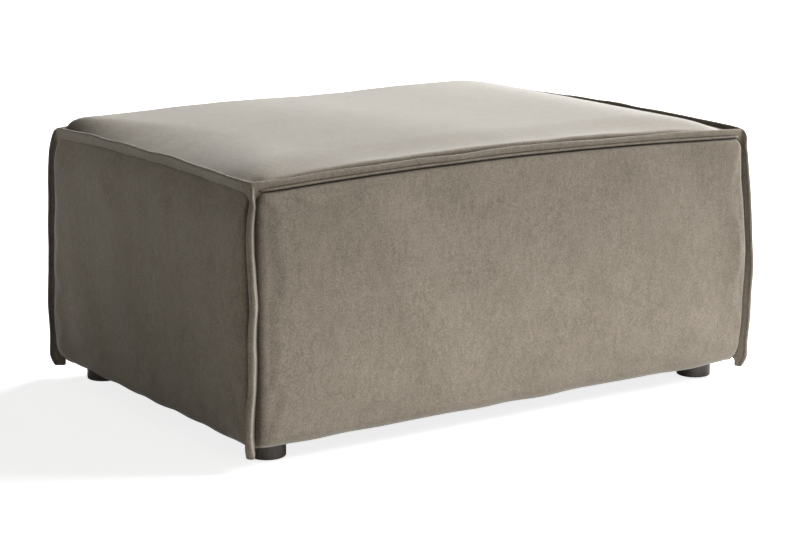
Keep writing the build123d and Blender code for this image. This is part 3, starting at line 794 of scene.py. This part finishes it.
corner_bottom = hem_level - tail_depth
for number, (corner, (x_sign, y_sign, reaches)) in enumerate(corners.items()):
    outwards = np.array((x_sign, y_sign, 0)) / sqrt(2)
    sideways = np.array((y_sign, -x_sign, 0)) / sqrt(2)
    origin = np.array((x_sign * half_x, y_sign * half_y, 0))
    corner_top = reaches[0][0] / 1000
    heights = np.concatenate([
        np.linspace(corner_top, corner_top - close_top, corner_lines[0]),
        np.linspace(corner_top - close_top, hem_level + close_bottom, corner_lines[1])[1:],
        np.linspace(hem_level + close_bottom, corner_bottom, corner_lines[2])[1:],
    ])
    reach = read_table(reaches[::-1], heights)
    smoothed = np.convolve(reach, np.ones(corner_smoothing) / corner_smoothing, "valid")
    reach[corner_smoothing // 2:-(corner_smoothing // 2)] = smoothed
    reach = reach + corner_wave * waves(heights, seam_wavelengths, seed=81 + number)
    tail = np.clip((hem_level + tail_start - heights) / tail_length, 0, 1)
    reach = reach - tail_narrowing * tail ** 1.5
    sway = corner_sway * waves(heights, sway_wavelengths, seed=91 + number, phases=2)
    if corner == "front_left":
        sway = sway - read_table(near_bend, heights)
    low = np.clip((hem_level + low_thick_start - heights) / low_thick_length, 0, 1)
    high = np.clip((heights - corner_top + top_thin_start) / top_thin_length, 0, 1)
    half_thick = corner_half + low_thickening * low ** 1.5
    half_thick = half_thick - top_thinning * high
    rings = []
    for height, length, shift, thick in zip(heights, reach, sway, half_thick):
        inner = -corner_inner if height > hem_level + tail_inner_level else -tail_inner
        thick = min(thick, (length - inner) * corner_blunt_share)
        section = tongue(thick, length - inner, corner_power)
        # It is narrower where it comes out between the panels
        section[[0, 1, -2, -1], 1] *= corner_root_share
        rings.append(
            origin
            + (inner + section[:, :1]) * outwards
            + (section[:, 1:] + shift) * sideways
            + height * np.array((0, 0, 1))
        )
    sweep(rings, web_points, web_faces)

flange_web = mesh_object("flange_web", np.concatenate(web_points), web_faces, flange_velvet)
remesh = flange_web.modifiers.new("weld", "REMESH")
remesh.mode = "VOXEL"
remesh.voxel_size = weld_size
remesh.use_smooth_shade = True
soften = flange_web.modifiers.new("soften", "SMOOTH")
soften.factor = 0.6
soften.iterations = 5
top_flanges = [f"{name}_top_flange" for name in sides]
corner_flanges = [f"{corner}_corner_flange" for corner in corners]
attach(flange_web, "root")
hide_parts(*top_flanges, *corner_flanges)
seam_ridges = mesh_object("seam_ridges", np.concatenate(seam_points), seam_faces, side_velvet)
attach(seam_ridges, "root")

# The feet: short round blocks, stained almost black and varnished to a soft shine, screwed
# up into the frame through the dust cover.
foot_material, foot_shader, foot_place = new_material("stained_foot", {
    "Roughness": 0.36,
    "Coat Weight": 0.25,
    "Coat Roughness": 0.3,
})
grain = noise(foot_place, scale=260, detail=3.0, roughness=0.6, seed=2.2, stretch=(1, 1, 0.12))
stain = tinted(grain, (0.3, (0.016, 0.011, 0.008)), (0.7, (0.046, 0.032, 0.022)))
stain.into(foot_shader, "Base Color")
(0.3 + grain * 0.16).into(foot_shader, "Roughness")


def finish_nodes(material, *names):
    """Give solid pieces of the frame their finish."""
    for name in names:
        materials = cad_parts[name].data.materials
        materials.clear()
        materials.append(material)


finish_nodes(foot_material, *[f"{corner}_foot" for corner in corners])

# The glides under the feet: grey moulded nylon, scuffed from sliding over floors.
glide_material, glide_shader, glide_place = new_material("nylon_glide", {"Specular IOR Level": 0.4})
scuffs = noise(glide_place, scale=420, detail=4.0, roughness=0.7, seed=8.8, stretch=(1, 0.3, 1))
grey = tinted(scuffs, (0.35, (0.20, 0.19, 0.18)), (0.65, (0.33, 0.32, 0.30)))
grey.into(glide_shader, "Base Color")
(0.35 + scuffs * 0.4).into(glide_shader, "Roughness")
finish_nodes(glide_material, *[f"{corner}_foot_glide" for corner in corners])

# The dust cover: thin black spun-bonded cloth stapled over the raw hems, pulled flat at the
# edges and round the feet and sagging a little in between.
cloth_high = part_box("dust_cover")[1]
foot_low, foot_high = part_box("front_right_foot")
stud_x = (foot_low.x + foot_high.x) / 2
stud_y = -(foot_low.y + foot_high.y) / 2
stud_hole = 0.0043
dust_sag = 0.0028
dust_step = 0.012
dust_line_gap = 0.003
dust_top_gap = 0.0004
dust_thickness = 0.0004
dust_ripple = 0.0003
ripple_wavelengths = (0.06, 0.13)
foot_clearance = 0.03
loose_reach = 0.06


def with_hole_lines(half, hole):
    """Even places from -half to half, with a line at each edge of a hole on either side."""
    places = np.linspace(-half, half, int(2 * half / dust_step))
    edges = [sign * hole + side * stud_hole for sign in (-1, 1) for side in (-1, 1)]
    clear = np.min(np.abs(places[:, None] - np.array(edges)), axis=1) > dust_line_gap
    inside = np.abs(np.abs(places) - hole) < stud_hole
    return np.sort(np.concatenate([places[clear & ~inside], edges]))


dust_xs = with_hole_lines(cloth_high.x, stud_x)
dust_ys = with_hole_lines(cloth_high.y, stud_y)
dust_x, dust_y = np.meshgrid(dust_xs, dust_ys, indexing="ij")
bay = np.sin(pi * np.abs(dust_x) / cloth_high.x) ** 2 * np.cos(pi / 2 * dust_y / cloth_high.y) ** 2
to_foot = np.sqrt((np.abs(dust_x) - stud_x) ** 2 + (np.abs(dust_y) - stud_y) ** 2)
loose = 1 - np.exp(-(np.clip(to_foot - foot_clearance, 0, None) / loose_reach) ** 2)
ripple = dust_ripple * waves(dust_x - dust_y, ripple_wavelengths, seed=101) * bay
dust_z = cloth_high.z - dust_top_gap - dust_sag * bay * loose + ripple * loose
dust_faces = grid_faces(len(dust_xs), len(dust_ys))
dust_points = np.stack([dust_x, dust_y, dust_z], -1).reshape(-1, 3)
centres = np.abs(dust_points[dust_faces].mean(axis=1))
around_stud = np.maximum(np.abs(centres[:, 0] - stud_x), np.abs(centres[:, 1] - stud_y))
dust_material, dust_shader, dust_place = new_material("spun_dust_cloth", {"Roughness": 0.92})
fibres = noise(dust_place, scale=900, detail=3.0, roughness=0.7, seed=4.4)
black = tinted(fibres, (0.3, (0.010, 0.010, 0.011)), (0.7, (0.032, 0.031, 0.031)))
black.into(dust_shader, "Base Color")
bumped(fibres, strength=0.3, distance=0.0004).into(dust_shader, "Normal")
dust_faces = dust_faces[around_stud > stud_hole]
dust_cloth = mesh_object("dust_cloth", dust_points, dust_faces, dust_material)
thicken(dust_cloth, dust_thickness, offset=0.0)
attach(dust_cloth, "root")
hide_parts("dust_cover")

# Bare metal inside and underneath: bright galvanised staples, screws and tee nuts, and
# springs, clips and tie wires of drawn steel with a thin oily film.
for name, light, dark, low, nodes in [
    ("galvanised_steel", (0.55, 0.56, 0.57), (0.36, 0.37, 0.39), 0.28,
     ["staples", "frame_screws", "tee_nuts", "foot_studs", "clip_nails"]),
    ("drawn_spring_steel", (0.24, 0.23, 0.22), (0.12, 0.11, 0.10), 0.35,
     [f"spring_{number}" for number in range(1, 7)] + ["spring_clips", "spring_tie_wires"]),
]:
    metal, metal_shader, metal_place = new_material(name, {"Metallic": 0.9})
    spangle = noise(metal_place, scale=350, detail=3.0, roughness=0.6, seed=6.1)
    tinted(spangle, (0.35, dark), (0.65, light)).into(metal_shader, "Base Color")
    (low + spangle * 0.25).into(metal_shader, "Roughness")
    finish_nodes(metal, *nodes)

# The wood inside: sawn softwood rails and posts with their grain along the boards, and plywood
# foot plates with a plainer face.
for name, light, dark, stretch, nodes in [
    ("sawn_boards", (0.60, 0.42, 0.25), (0.38, 0.24, 0.13), (0.06, 1, 1),
     ["front_rail", "back_rail"]),
    ("sawn_cross_boards", (0.60, 0.42, 0.25), (0.38, 0.24, 0.13), (1, 0.06, 1),
     ["left_rail", "right_rail", "centre_rail"]),
    ("sawn_posts", (0.62, 0.45, 0.28), (0.42, 0.27, 0.15), (1, 1, 0.06),
     [f"{corner}_post" for corner in corners]),
    ("plywood_plates", (0.55, 0.40, 0.26), (0.40, 0.27, 0.16), (0.2, 1, 1),
     [f"{corner}_foot_plate" for corner in corners]),
]:
    wood, wood_shader, wood_place = new_material(name, {"Roughness": 0.75})
    rings = noise(wood_place, scale=130, detail=4.0, roughness=0.6, seed=3.7, stretch=stretch)
    tinted(rings, (0.3, dark), (0.7, light)).into(wood_shader, "Base Color")
    bumped(rings, strength=0.4, distance=0.0006).into(wood_shader, "Normal")
    finish_nodes(wood, *nodes)

# The stuffing: open-cell foam in the seat and at the sides, and grey needled felt on the springs.
for name, light, dark, scale, nodes in [
    ("seat_foam", (0.78, 0.70, 0.46), (0.66, 0.58, 0.36), 700,
     ["seat_foam_block", "soft_foam_layer"] + [f"{side}_side_pad" for side in sides]),
    ("needled_felt", (0.30, 0.29, 0.28), (0.15, 0.15, 0.15), 500, ["spring_felt"]),
]:
    filling, filling_shader, filling_place = new_material(name, {"Roughness": 0.95})
    cells = noise(filling_place, scale, detail=4.0, roughness=0.7, seed=9.3)
    tinted(cells, (0.35, dark), (0.65, light)).into(filling_shader, "Base Color")
    bumped(cells, strength=0.5, distance=0.001).into(filling_shader, "Normal")
    finish_nodes(filling, *nodes)

# The floor and the plain white surround, with the soft light of a studio: a large lamp over the
# right front, one above from the right, weak ones in front and at the left, a low strip along
# the front, and an even pale surround.
floor_half = 12
floor_glow = 0.80
glow_near = 0.9
glow_far = 3.2
surround_light = 0.05
floor_material, floor_shader, floor_place = new_material("pale_floor", {
    "Base Color": (0.8, 0.8, 0.8, 1),
    "Roughness": 0.9,
    "Specular IOR Level": 0.0,
    "Emission Strength": 1.0,
})
seen = floor_place.node("ShaderNodeLightPath", out="Is Camera Ray")
away = floor_place.node("ShaderNodeVectorMath", {"operation": "LENGTH"}, {0: floor_place}, out=1)
glow_level = away.node("ShaderNodeMapRange", {"interpolation_type": "SMOOTHSTEP"}, {
    "Value": away, "From Min": glow_near, "From Max": glow_far, "To Min": floor_glow, "To Max": 1.0,
}) * seen
glow = seen.node("ShaderNodeCombineColor", None, {0: glow_level, 1: glow_level, 2: glow_level})
glow.into(floor_shader, "Emission Color")
floor_signs = ((-1, -1), (1, -1), (1, 1), (-1, 1))
floor_corners = [(x * floor_half, y * floor_half, 0) for x, y in floor_signs]
floor = mesh_object("floor", floor_corners, [(0, 1, 2, 3)], floor_material, smooth=False)

world = bpy.data.worlds.new("surround")
bpy.context.scene.world = world
world.use_nodes = True
world_tree = world.node_tree
paths = world_tree.nodes.new("ShaderNodeLightPath")
direct = Socket(world_tree, paths.outputs["Is Camera Ray"])
mirrored = Socket(world_tree, paths.outputs["Is Glossy Ray"])
through = Socket(world_tree, paths.outputs["Is Transmission Ray"])
white_seen = direct.maths("MAXIMUM", mirrored.maths("MAXIMUM", through))
background = world_tree.nodes["Background"]
background.inputs["Color"].default_value = (1, 1, 1, 1)
(white_seen * (1 - surround_light) + surround_light).into(background, "Strength")

white_light = (1, 1, 1)
warm_light = (1, 0.95, 0.86)
for name, place, aim, width, length, power, colour in [
    ("key_lamp", (9.0, -3.6, 6.9), (0, 0, 0.25), 6.0, 6.0, 1700, white_light),
    ("front_lamp", (3.6, -5.4, 4.4), (0, 0, 0.25), 3.0, 3.0, 10, white_light),
    ("top_lamp", (2.5, 1.1, 2.4), (0, 0, 0.25), 1.8, 1.8, 127, white_light),
    ("left_lamp", (-3.7, 1.3, 0.9), (0, 0, 0.15), 3.0, 1.4, 14, warm_light),
    ("floor_strip", (0.1, -0.66, 0.02), (0.1, -0.34, 0.05), 1.3, 0.12, 2.1, white_light),
]:
    lamp_data = bpy.data.lights.new(name, "AREA")
    lamp_data.shape = "RECTANGLE"
    lamp_data.size = width
    lamp_data.size_y = length
    lamp_data.energy = power
    lamp_data.color = colour
    lamp = bpy.data.objects.new(name, lamp_data)
    lamp.location = place
    lamp.rotation_euler = (Vector(place) - Vector(aim)).to_track_quat("Z", "Y").to_euler()
    lamp.visible_camera = False
    bpy.context.scene.collection.objects.link(lamp)

bpy.context.scene.view_settings.view_transform = "Standard"
